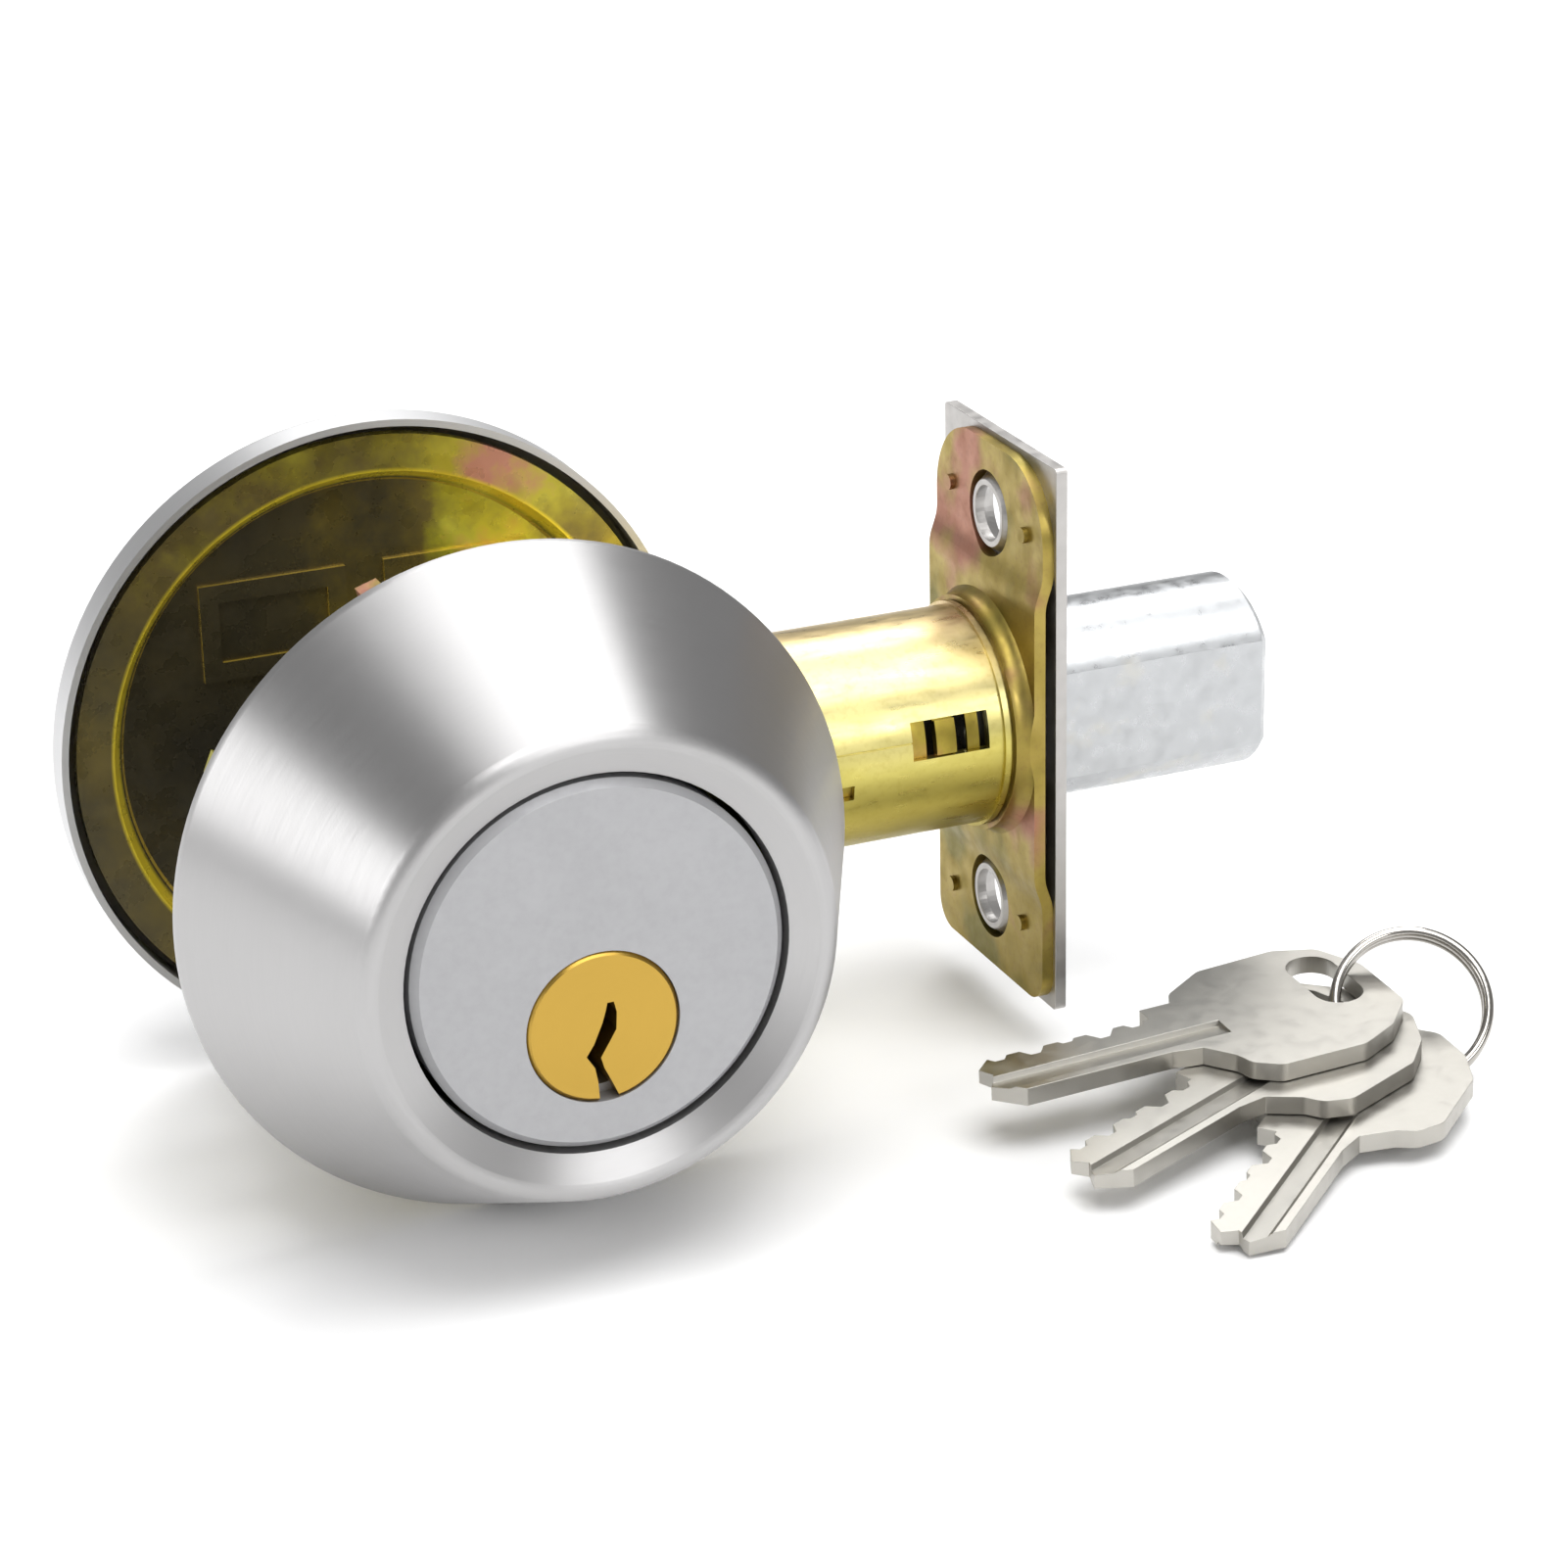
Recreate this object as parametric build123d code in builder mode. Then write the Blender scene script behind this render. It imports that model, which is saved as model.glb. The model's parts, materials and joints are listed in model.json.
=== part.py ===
from build123d import *
from math import cos, radians, sin, sqrt
import os

# Tubular deadbolt lock set: keyed cylinder outside, thumb-turn inside, keys on a ring.
# Frame: +Z up, +X is the way the bolt throws, -Y is the keyed (outside) face of the door.
# The origin is the middle of the door's cross bore, on the bolt's own axis.

# ---------------------------------------------------------------- driving dimensions (mm)
DOOR_HALF = 20.0            # half of the door's thickness
BACKSET = 60.0              # cross bore axis to the outer face of the faceplate
THROW = 25.0                # travel of the bolt
RIM_R = 32.6                # outside and inside covers, at the door
CYL_R = 17.5                # round head of the cylinder
CYL_FACE_Y = -41.9
PLUG_Z = -5.8               # the plug sits below the middle of the cylinder
PLUG_R = 6.40
PLUG_FLANGE_R = 7.20
FIT = 0.06                  # radial clearance of a running fit
TUBE_R = 11.1
TUBE_WALL = 0.6
TUBE_IN_R = TUBE_R - TUBE_WALL
SLEEVE_WALL = 0.4
BOLT_R = 9.9
BOLT_FLAT = 8.2             # half width across the bolt's two flats
PLATE_T = 1.2               # faceplate and backplate
PLATE_W = 25.4
PLATE_H = 57.15
SCREW_SPACING = 41.3        # faceplate screws, centre to centre
SCREW_HOLE_R = 2.8
PIN_R = 1.40
PIN_PITCH = 4.2
PIN_COUNT = 5
CRANK_H = THROW / 2         # height of the drive pin over the crank's axis
KEY_T = 1.9
FLOOR_Z = -RIM_R            # the covers and the keys lie on one level

FACE_X = BACKSET - PLATE_T  # back of the faceplate
BOLT_END_X = BACKSET + THROW

os.makedirs("parts", exist_ok=True)


def save(builder, label):
    builder.part.label = label
    export_step(builder.part, f"parts/{label}.step")


def across(y):
    """Plane facing -Y at the given y: sketch x is X and sketch y is Z."""
    return Plane.XZ.offset(-y)


def along(x):
    """Plane facing +X at the given x: sketch x is Y and sketch y is Z."""
    return Plane.YZ.offset(x)


BOLT_AXIS = Axis.X


# ---------------------------------------------------------------- outside cover
COVER_WALL = 1.1
COVER_NOSE_R = 22.0
COVER_NOSE_Y = -43.2
COVER_LIP = 0.8             # straight lip at the door
HEAD_GAP = 0.6              # dark gap round the cylinder's head

with BuildPart() as exterior_housing:
    with BuildSketch(Plane.XY):
        with BuildLine():
            lip_y = -DOOR_HALF - COVER_LIP
            nose_in_r = CYL_R + HEAD_GAP
            Polyline(
                (RIM_R, -DOOR_HALF),
                (RIM_R, lip_y),
                (COVER_NOSE_R, COVER_NOSE_Y),
                (nose_in_r, COVER_NOSE_Y + 1.7),
                (nose_in_r, COVER_NOSE_Y + 4.6),
                (nose_in_r + COVER_WALL, COVER_NOSE_Y + 4.6),
                (nose_in_r + COVER_WALL, COVER_NOSE_Y + 3.0),
                (COVER_NOSE_R - 0.9, COVER_NOSE_Y + 1.9),
                (RIM_R - 1.25, lip_y - 0.4),
                (RIM_R - COVER_WALL, -DOOR_HALF),
                close=True,
            )
        make_face()
    revolve(axis=Axis.Y)
    nose = exterior_housing.edges().filter_by(GeomType.CIRCLE)
    fillet([e for e in nose if abs(e.radius - COVER_NOSE_R) < 0.01], radius=1.5)
    rims = exterior_housing.edges().filter_by(GeomType.CIRCLE)
    fillet([e for e in rims if abs(e.radius - RIM_R) < 0.01 and e.center().Y < lip_y + 0.1], radius=1.0)
save(exterior_housing, "exterior_housing")

# ---------------------------------------------------------------- cylinder
HEAD_T = 4.5
BARREL_END_Y = -13.5
BARREL_R = 9.6
CHAMBER_BLOCK_W = 9.0
CHAMBER_TOP_Z = 13.2
FLANGE_T = 2.0
FLANGE_Y = CYL_FACE_Y - 0.1
FIRST_PIN_Y = -35.4
CHAMBER_R = 1.5
COVER_STRIP_W = 4.4
COVER_STRIP_T = 1.2
PIN_YS = [FIRST_PIN_Y + PIN_PITCH * i for i in range(PIN_COUNT)]

with BuildPart() as cylinder_body:
    with BuildSketch(across(CYL_FACE_Y + HEAD_T)):
        Circle(CYL_R)
    extrude(amount=HEAD_T)
    chamfer(cylinder_body.edges().group_by(Axis.Y)[0], length=0.7)
    with BuildSketch(across(BARREL_END_Y)):
        with Locations((0, PLUG_Z)):
            Circle(BARREL_R)
        with Locations((0, (PLUG_Z + CHAMBER_TOP_Z) / 2)):
            Rectangle(CHAMBER_BLOCK_W, CHAMBER_TOP_Z - PLUG_Z)
    extrude(amount=BARREL_END_Y - CYL_FACE_Y - HEAD_T)
    with BuildSketch(across(BARREL_END_Y)):
        with Locations((0, PLUG_Z)):
            Circle(PLUG_R + FIT)
    extrude(amount=BARREL_END_Y - CYL_FACE_Y, mode=Mode.SUBTRACT)
    with BuildSketch(across(FLANGE_Y + FLANGE_T + FIT)):
        with Locations((0, PLUG_Z)):
            Circle(PLUG_FLANGE_R + FIT)
    extrude(amount=FLANGE_T + 1, mode=Mode.SUBTRACT)
    with BuildSketch(Plane.XY.offset(PLUG_Z)):
        with Locations(*[(0, y) for y in PIN_YS]):
            Circle(CHAMBER_R)
    extrude(amount=CHAMBER_TOP_Z - PLUG_Z + 1, mode=Mode.SUBTRACT)
    with BuildSketch(across(BARREL_END_Y)):
        with Locations((0, CHAMBER_TOP_Z)):
            Rectangle(COVER_STRIP_W, 2 * COVER_STRIP_T)
    extrude(amount=BARREL_END_Y - CYL_FACE_Y - HEAD_T, mode=Mode.SUBTRACT)
save(cylinder_body, "cylinder_body")

with BuildPart() as chamber_cover:
    with BuildSketch(across(BARREL_END_Y - 0.1)):
        with Locations((0, CHAMBER_TOP_Z - COVER_STRIP_T / 2)):
            Rectangle(COVER_STRIP_W - 0.1, COVER_STRIP_T - 0.1)
    extrude(amount=BARREL_END_Y - CYL_FACE_Y - HEAD_T - 0.2)
save(chamber_cover, "chamber_cover")

# ---------------------------------------------------------------- plug
PLUG_END_Y = -11.5
CLIP_Y = -13.2
CLIP_T = 0.9
CLIP_GROOVE_R = 5.6
RECESS_R = 4.3
RECESS_DEPTH = 4.2

with BuildPart() as plug:
    with BuildSketch(across(PLUG_END_Y)):
        with Locations((0, PLUG_Z)):
            Circle(PLUG_R)
    extrude(amount=PLUG_END_Y - FLANGE_Y - 0.5)
    with BuildSketch(across(FLANGE_Y + FLANGE_T)):
        with Locations((0, PLUG_Z)):
            Circle(PLUG_FLANGE_R)
    extrude(amount=FLANGE_T)
    chamfer(plug.edges().group_by(Axis.Y)[0], length=0.35)
    with BuildSketch(across(CLIP_Y + CLIP_T + 0.05)):
        with Locations((0, PLUG_Z)):
            Circle(PLUG_R + 1)
            Circle(CLIP_GROOVE_R, mode=Mode.SUBTRACT)
    extrude(amount=CLIP_T + 0.1, mode=Mode.SUBTRACT)
    with BuildSketch(across(PLUG_END_Y)):
        with Locations((0, PLUG_Z)):
            Circle(RECESS_R)
    extrude(amount=RECESS_DEPTH, mode=Mode.SUBTRACT)
    # keyway: a crooked slot from above the middle down through the bottom of the plug
    with BuildSketch(Plane(origin=(0, CLIP_Y - 3.5, PLUG_Z), x_dir=(1, 0, 0), z_dir=(0, -1, 0))):
        with BuildLine():
            Polyline(
                (0.4, 2.3), (1.0, 2.3), (1.25, 1.3), (1.15, -0.4), (0.35, -1.7), (-0.4, -2.9),
                (-0.1, -4.0), (0.55, -5.4), (1.7, -8.0), (-0.6, -8.0), (-0.75, -5.2), (-1.0, -3.8),
                (-1.75, -2.6), (-1.0, -1.5), (-0.15, 0.4), (0.2, 1.5), close=True,
            )
        make_face()
    extrude(amount=40, mode=Mode.SUBTRACT)
    with BuildSketch(Plane.XY.offset(PLUG_Z)):
        with Locations(*[(0, y) for y in PIN_YS]):
            Circle(CHAMBER_R)
    extrude(amount=PLUG_R + 1, mode=Mode.SUBTRACT)
save(plug, "plug")

with BuildPart() as plug_clip:
    with BuildSketch(across(CLIP_Y + CLIP_T)):
        with Locations((0, PLUG_Z)):
            Circle(7.9)
            Circle(CLIP_GROOVE_R + 0.05, mode=Mode.SUBTRACT)
        with Locations((0, PLUG_Z - 7)):
            Rectangle(7.0, 8.0, mode=Mode.SUBTRACT)
    extrude(amount=CLIP_T)
save(plug_clip, "plug_clip")

# ---------------------------------------------------------------- pin stacks, set at the shear line
KEY_PIN_LENGTHS = [4.8, 4.2, 5.4, 4.5, 5.1]
SHEAR_Z = PLUG_Z + PLUG_R - 0.2
DRIVER_Z = PLUG_Z + PLUG_R + 0.2
DRIVER_L = 4.6
SPRING_R = 1.0
SPRING_WIRE = 0.17
SPRING_TURNS = 7
SPRING_BOTTOM_Z = DRIVER_Z + DRIVER_L + SPRING_WIRE + 0.05
SPRING_TOP_Z = CHAMBER_TOP_Z - COVER_STRIP_T - SPRING_WIRE - 0.05

for number, (pin_y, pin_l) in enumerate(zip(PIN_YS, KEY_PIN_LENGTHS), start=1):
    with BuildPart() as key_pin:
        with BuildSketch(Plane.XY.offset(SHEAR_Z - pin_l)):
            with Locations((0, pin_y)):
                Circle(PIN_R)
        extrude(amount=pin_l)
        chamfer(key_pin.edges().group_by(Axis.Z)[0], length=0.7)
    save(key_pin, f"key_pin_{number}")

    with BuildPart() as driver_pin:
        with BuildSketch(Plane.XY.offset(DRIVER_Z)):
            with Locations((0, pin_y)):
                Circle(PIN_R)
        extrude(amount=DRIVER_L)
        chamfer(driver_pin.edges().group_by(Axis.Z)[-1], length=0.3)
    save(driver_pin, f"driver_pin_{number}")

    with BuildPart() as pin_spring:
        rise = SPRING_TOP_Z - SPRING_BOTTOM_Z
        with BuildLine():
            coil = Helix(rise / SPRING_TURNS, rise, SPRING_R, center=(0, pin_y, SPRING_BOTTOM_Z))
        with BuildSketch(Plane(origin=coil @ 0, z_dir=coil % 0)):
            Circle(SPRING_WIRE)
        sweep(path=coil, is_frenet=True)
    save(pin_spring, f"pin_spring_{number}")

# ---------------------------------------------------------------- support ring and mounting screws
SUPPORT_R = 30.6
SUPPORT_Y = -DOOR_HALF - 0.3
SUPPORT_T = 1.6
POST_CIRCLE_R = 19.0
POST_ANGLES = (50.0, 230.0)     # clear of the crank's sweep and of the bolt's tube
POST_R = 3.6
POST_END_Y = -8.0
TAP_R = 2.05
FINGER_R = 26.4
FINGER_T = 1.0
FINGER_W = 2.2
FINGER_END_Y = -4.5
FINGER_ANGLES = (108, 157, 203, 252)
POSTS = [(POST_CIRCLE_R * cos(radians(a)), POST_CIRCLE_R * sin(radians(a))) for a in POST_ANGLES]

with BuildPart() as support_ring:
    with BuildSketch(across(SUPPORT_Y)):
        Circle(SUPPORT_R)
        with Locations((0, PLUG_Z)):
            Circle(BARREL_R + 0.3, mode=Mode.SUBTRACT)
        with Locations((0, 4)):
            Rectangle(CHAMBER_BLOCK_W + 0.6, 2 * CHAMBER_TOP_Z - 8 + 0.6, mode=Mode.SUBTRACT)
    extrude(amount=SUPPORT_T)
    with BuildSketch(across(POST_END_Y)):
        with Locations(*POSTS):
            Circle(POST_R)
    extrude(amount=POST_END_Y - SUPPORT_Y)
    with BuildSketch(across(FINGER_END_Y)):
        for angle in FINGER_ANGLES:
            with Locations(Rotation(0, 0, angle) * Location((FINGER_R - FINGER_T / 2, 0, 0))):
                Rectangle(FINGER_T, FINGER_W)
    extrude(amount=FINGER_END_Y - SUPPORT_Y)
    with BuildSketch(across(POST_END_Y)):
        with Locations(*POSTS):
            Circle(TAP_R)
    extrude(amount=POST_END_Y - SUPPORT_Y + SUPPORT_T, mode=Mode.SUBTRACT)
save(support_ring, "support_ring")

ROSE_FACE_Y = 29.6
SHANK_R = 2.0
SHANK_END_Y = -15.5
SCREW_HEAD_R = 4.2
SCREW_HEAD_T = 2.2

with BuildPart() as mounting_screws:
    for post in POSTS:
        with BuildSketch(across(ROSE_FACE_Y + 0.05)):
            with Locations(post):
                Circle(SHANK_R)
        extrude(amount=ROSE_FACE_Y - SHANK_END_Y)
        with BuildSketch(across(ROSE_FACE_Y + 0.05 + SCREW_HEAD_T)):
            with Locations(post):
                Circle(SCREW_HEAD_R)
        extrude(amount=SCREW_HEAD_T)
    chamfer(mounting_screws.edges().group_by(Axis.Y)[-1], length=0.9)
    chamfer(mounting_screws.edges().group_by(Axis.Y)[0], length=0.5)
    with BuildSketch(across(ROSE_FACE_Y + SCREW_HEAD_T + 1)):
        with Locations(*POSTS):
            Rectangle(4.2, 0.9)
            Rectangle(0.9, 4.2)
    extrude(amount=2.6, mode=Mode.SUBTRACT)
save(mounting_screws, "mounting_screws")

# ---------------------------------------------------------------- inside cover (rose) and its plate
ROSE_WALL = 0.7
ROSE_SIDE_Y = 24.2
ROSE_SHOULDER_R = 25.0
TURN_HOLE_R = 6.1
ROSE_PLATE_R = 30.9
ROSE_PLATE_Y = 20.9
ROSE_STEP_R = 27.1
ROSE_FLOOR_Y = 22.9

with BuildPart() as rose_cover:
    with BuildSketch(Plane.XY):
        with BuildLine():
            Polyline(
                (RIM_R, DOOR_HALF),
                (RIM_R, ROSE_SIDE_Y),
                (ROSE_SHOULDER_R, ROSE_FACE_Y),
                (0, ROSE_FACE_Y),
                (0, ROSE_FACE_Y - 1.0),
                (ROSE_SHOULDER_R - 0.4, ROSE_FACE_Y - 1.0),
                (RIM_R - ROSE_WALL - 0.2, ROSE_SIDE_Y - 0.4),
                (RIM_R - ROSE_WALL, ROSE_SIDE_Y - 1.0),
                (RIM_R - ROSE_WALL, DOOR_HALF),
                close=True,
            )
        make_face()
    revolve(axis=Axis.Y)
    bends = rose_cover.edges().filter_by(GeomType.CIRCLE)
    outer = [e for e in bends if abs(e.radius - RIM_R) < 0.01]
    fillet([e for e in outer if e.center().Y > ROSE_SIDE_Y - 0.1], radius=1.6)
    bends = rose_cover.edges().filter_by(GeomType.CIRCLE)
    fillet([e for e in bends if abs(e.radius - ROSE_SHOULDER_R) < 0.01], radius=2.0)
    with BuildSketch(across(ROSE_FACE_Y + 1)):
        with Locations((0, PLUG_Z)):
            Circle(TURN_HOLE_R)
        with Locations(*POSTS):
            Circle(SHANK_R + 0.5)
    extrude(amount=3, mode=Mode.SUBTRACT)
save(rose_cover, "rose_cover")

with BuildPart() as rose_plate:
    with BuildSketch(Plane.XY):
        with BuildLine():
            Polyline(
                (ROSE_PLATE_R, ROSE_PLATE_Y),
                (ROSE_PLATE_R, ROSE_PLATE_Y + PLATE_T),
                (ROSE_STEP_R + 0.3, ROSE_PLATE_Y + PLATE_T),
                (ROSE_STEP_R - 0.6, ROSE_FLOOR_Y + PLATE_T),
                (0, ROSE_FLOOR_Y + PLATE_T),
                (0, ROSE_FLOOR_Y),
                (ROSE_STEP_R - 1.4, ROSE_FLOOR_Y),
                (ROSE_STEP_R, ROSE_PLATE_Y),
                close=True,
            )
        make_face()
    revolve(axis=Axis.Y)
    # pressed stiffening frames, four of them round the middle
    with BuildSketch(across(ROSE_FLOOR_Y)):
        with GridLocations(19.0, 24.8, 2, 2):
            Rectangle(15.0, 10.0)
        with GridLocations(19.0, 24.8, 2, 2):
            Rectangle(11.2, 6.2, mode=Mode.SUBTRACT)
        Circle(ROSE_STEP_R - 2.0, mode=Mode.INTERSECT)
    extrude(amount=0.45)
    with BuildSketch(across(ROSE_FLOOR_Y + 3)):
        with Locations((0, PLUG_Z)):
            Circle(5.0)
        with Locations(*POSTS):
            Circle(SHANK_R + 0.5)
    extrude(amount=6, mode=Mode.SUBTRACT)
save(rose_plate, "rose_plate")

# ---------------------------------------------------------------- thumb-turn
SPINDLE_R = 5.9
SPINDLE_Y = 25.0
TURN_BASE_Y = ROSE_FACE_Y + 0.4
TURN_BASE_R = 9.0
LEVER_Y = 33.0
LEVER_END_Y = 48.0
LEVER_L = 24.0
LEVER_W = 8.0
TURN_CLIP_Y = 26.6
TURN_CLIP_T = 0.8
TURN_GROOVE_R = 5.0
TAIL_W = 6.0
TAIL_T = 1.6
TAIL_END_Y = 31.0
WASHER_Y = TURN_CLIP_Y + TURN_CLIP_T + 0.1

with BuildPart() as thumb_turn:
    with BuildSketch(across(TURN_BASE_Y)):
        with Locations((0, PLUG_Z)):
            Circle(SPINDLE_R)
    extrude(amount=TURN_BASE_Y - SPINDLE_Y)
    with BuildSketch(across(LEVER_Y)):
        with Locations((0, PLUG_Z)):
            Circle(TURN_BASE_R)
    extrude(amount=LEVER_Y - TURN_BASE_Y)
    chamfer(thumb_turn.edges().group_by(Axis.Y)[-1], length=1.0)
    with BuildSketch(across(LEVER_Y - 0.5)):
        with Locations((0, PLUG_Z)):
            SlotOverall(LEVER_L - 5, LEVER_W - 1.5)
    with BuildSketch(across(LEVER_END_Y)):
        with Locations((0, PLUG_Z)):
            SlotOverall(LEVER_L, LEVER_W - 3)
    loft()
    fillet(thumb_turn.edges().group_by(Axis.Y)[-1], radius=1.6)
    with BuildSketch(across(TURN_CLIP_Y + TURN_CLIP_T + 0.05)):
        with Locations((0, PLUG_Z)):
            Circle(SPINDLE_R + 1)
            Circle(TURN_GROOVE_R, mode=Mode.SUBTRACT)
    extrude(amount=TURN_CLIP_T + 0.1, mode=Mode.SUBTRACT)
    with BuildSketch(across(TAIL_END_Y + 0.2)):
        with Locations((0, PLUG_Z)):
            Rectangle(TAIL_W + 0.2, TAIL_T + 0.2)
    extrude(amount=TAIL_END_Y + 0.2 - SPINDLE_Y + 1, mode=Mode.SUBTRACT)
save(thumb_turn, "thumb_turn")

with BuildPart() as turn_clip:
    with BuildSketch(across(TURN_CLIP_Y + TURN_CLIP_T)):
        with Locations((0, PLUG_Z)):
            Circle(8.2)
            Circle(TURN_GROOVE_R + 0.05, mode=Mode.SUBTRACT)
        with Locations((0, PLUG_Z - 7)):
            Rectangle(6.4, 8.0, mode=Mode.SUBTRACT)
    extrude(amount=TURN_CLIP_T)
save(turn_clip, "turn_clip")

with BuildPart() as friction_washer:
    with BuildSketch(across(ROSE_FACE_Y - 1.05)):
        with Locations((0, PLUG_Z)):
            Circle(9.5)
            Circle(SPINDLE_R + 0.25, mode=Mode.SUBTRACT)
    extrude(amount=ROSE_FACE_Y - 1.05 - WASHER_Y)
save(friction_washer, "friction_washer")

TAIL_HEAD_R = 4.0
TAIL_HEAD_T = 2.2
TAIL_HEAD_Y = PLUG_END_Y - RECESS_DEPTH + 0.3

with BuildPart() as tailpiece:
    with BuildSketch(across(TAIL_HEAD_Y + TAIL_HEAD_T)):
        with Locations((0, PLUG_Z)):
            Circle(TAIL_HEAD_R)
    extrude(amount=TAIL_HEAD_T)
    with BuildSketch(across(TAIL_END_Y)):
        with Locations((0, PLUG_Z)):
            Rectangle(TAIL_W, TAIL_T)
    extrude(amount=TAIL_END_Y - TAIL_HEAD_Y - TAIL_HEAD_T / 2)
save(tailpiece, "tailpiece")

# ---------------------------------------------------------------- crank, in its case
CHEEK_IN = 1.9              # the crank's two arms pass either side of the drive bar
CHEEK_T = 1.4
HUB_R = 5.4
JOURNAL_R = 4.0
CASE_IN = 5.6               # half gap between the case's side plates
CASE_T = 1.2
ARM_L = 19.6
ARM_W = 10.4
SLOT_W = 5.3                # wider than the pin: a straight ratio needs 1 mm of play each side
DRIVE_PIN_R = 1.5
CASE_FRONT_X = 20.5
CASE_REAR_X = -21.0

arm_plane = Plane(origin=(0, 0, PLUG_Z), x_dir=(cos(radians(45)), 0, sin(radians(45))), z_dir=(0, -1, 0))

with BuildPart() as crank:
    with BuildSketch(across(CASE_IN - 0.15)):
        with Locations((0, PLUG_Z)):
            Circle(HUB_R)
    extrude(amount=2 * CASE_IN - 0.3)
    with BuildSketch(across(CASE_IN + CASE_T + 0.2)):
        with Locations((0, PLUG_Z)):
            Circle(JOURNAL_R)
    extrude(amount=2 * (CASE_IN + CASE_T + 0.2))
    for inner in (CHEEK_IN, -CHEEK_IN - CHEEK_T):
        with BuildSketch(arm_plane.offset(inner)):
            with Locations((ARM_L / 2, 0)):
                Rectangle(ARM_L, ARM_W)
            with Locations((ARM_L, 0)):
                Rectangle(2 * (ARM_L - 10.5), SLOT_W, mode=Mode.SUBTRACT)
        extrude(amount=CHEEK_T)
    with BuildSketch(across(CASE_IN + CASE_T + 1)):
        with Locations((0, PLUG_Z)):
            Rectangle(TAIL_W + 0.2, TAIL_T + 0.2)
    extrude(amount=2 * (CASE_IN + CASE_T + 1), mode=Mode.SUBTRACT)
save(crank, "crank")

with BuildPart() as crank_case:
    with BuildSketch(across(CASE_IN + CASE_T)):
        with BuildLine():
            Polyline(
                (CASE_REAR_X - CASE_T, -8.5), (-9.0, -12.6), (9.0, -12.6), (13.4, -7.2), (CASE_FRONT_X, -7.2),
                (CASE_FRONT_X, 7.2), (13.4, 7.2), (11.0, 9.2), (CASE_REAR_X + 4, 9.2),
                (CASE_REAR_X - CASE_T, 2.6), close=True,
            )
        make_face()
    extrude(amount=2 * (CASE_IN + CASE_T))
    with BuildSketch(across(CASE_IN)):
        with Locations(((CASE_REAR_X + 40) / 2, 0)):
            Rectangle(40 - CASE_REAR_X, 40)
    extrude(amount=2 * CASE_IN, mode=Mode.SUBTRACT)
    with BuildSketch(across(CASE_IN + CASE_T + 1)):
        with Locations((0, PLUG_Z)):
            Circle(JOURNAL_R + FIT)
    extrude(amount=2 * (CASE_IN + CASE_T + 1), mode=Mode.SUBTRACT)
save(crank_case, "crank_case")

# ---------------------------------------------------------------- bolt and drive bar
BAR_T = 3.0
BOLT_REAR_X = 51.0
BAR_END_X = BOLT_REAR_X + 6
DRIVE_PIN_X = CRANK_H
DRIVE_PIN_Z = PLUG_Z + CRANK_H
RIVET_X = BOLT_REAR_X + 3.2
RIVET_R = 1.3
ROLLER_R = 3.0

with BuildPart() as drive_bar:
    with BuildSketch(across(BAR_T / 2)):
        with BuildLine():
            Polyline(
                (9.2, 3.3), (32.0, 3.3), (35.0, -3.4), (BAR_END_X, -3.4), (BAR_END_X, 4.6), (36.0, 6.6),
                (17.0, 9.5), (9.2, 9.5), close=True,
            )
        make_face()
        with Locations((DRIVE_PIN_X, DRIVE_PIN_Z)):
            Circle(DRIVE_PIN_R + 0.02, mode=Mode.SUBTRACT)
        with Locations((RIVET_X, 0.6)):
            Circle(RIVET_R + 0.02, mode=Mode.SUBTRACT)
    extrude(amount=BAR_T)
save(drive_bar, "drive_bar")

with BuildPart() as drive_pin:
    with BuildSketch(across(CHEEK_IN + CHEEK_T)):
        with Locations((DRIVE_PIN_X, DRIVE_PIN_Z)):
            Circle(DRIVE_PIN_R)
    extrude(amount=2 * (CHEEK_IN + CHEEK_T))
save(drive_pin, "drive_pin")

with BuildPart() as bolt:
    with BuildSketch(along(BOLT_REAR_X)):
        Circle(BOLT_R)
        Rectangle(2 * BOLT_FLAT, 2 * BOLT_R, mode=Mode.INTERSECT)
    extrude(amount=BOLT_END_X - BOLT_REAR_X)
    chamfer(bolt.edges().group_by(Axis.X)[-1], length=0.8)
    with BuildSketch(across(BAR_T / 2 + 0.05)):
        with Locations(((BOLT_REAR_X + BAR_END_X) / 2 - 1, 0)):
            Rectangle(BAR_END_X - BOLT_REAR_X + 2.4, 30)
    extrude(amount=BAR_T + 0.1, mode=Mode.SUBTRACT)
    with BuildSketch(across(BOLT_R)):
        with Locations((RIVET_X, 0.6)):
            Circle(RIVET_R + 0.02)
    extrude(amount=2 * BOLT_R, mode=Mode.SUBTRACT)
    with BuildSketch(along(BAR_END_X - 0.5)):
        Circle(ROLLER_R + 0.1)
    extrude(amount=25.5, mode=Mode.SUBTRACT)
save(bolt, "bolt")

with BuildPart() as bolt_rivet:
    with BuildSketch(across(BOLT_FLAT)):
        with Locations((RIVET_X, 0.6)):
            Circle(RIVET_R)
    extrude(amount=2 * BOLT_FLAT)
save(bolt_rivet, "bolt_rivet")

with BuildPart() as hardened_roller:
    with BuildSketch(along(BAR_END_X + 0.4)):
        Circle(ROLLER_R)
    extrude(amount=24.3)
    chamfer(hardened_roller.edges(), length=0.3)
save(hardened_roller, "hardened_roller")

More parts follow.
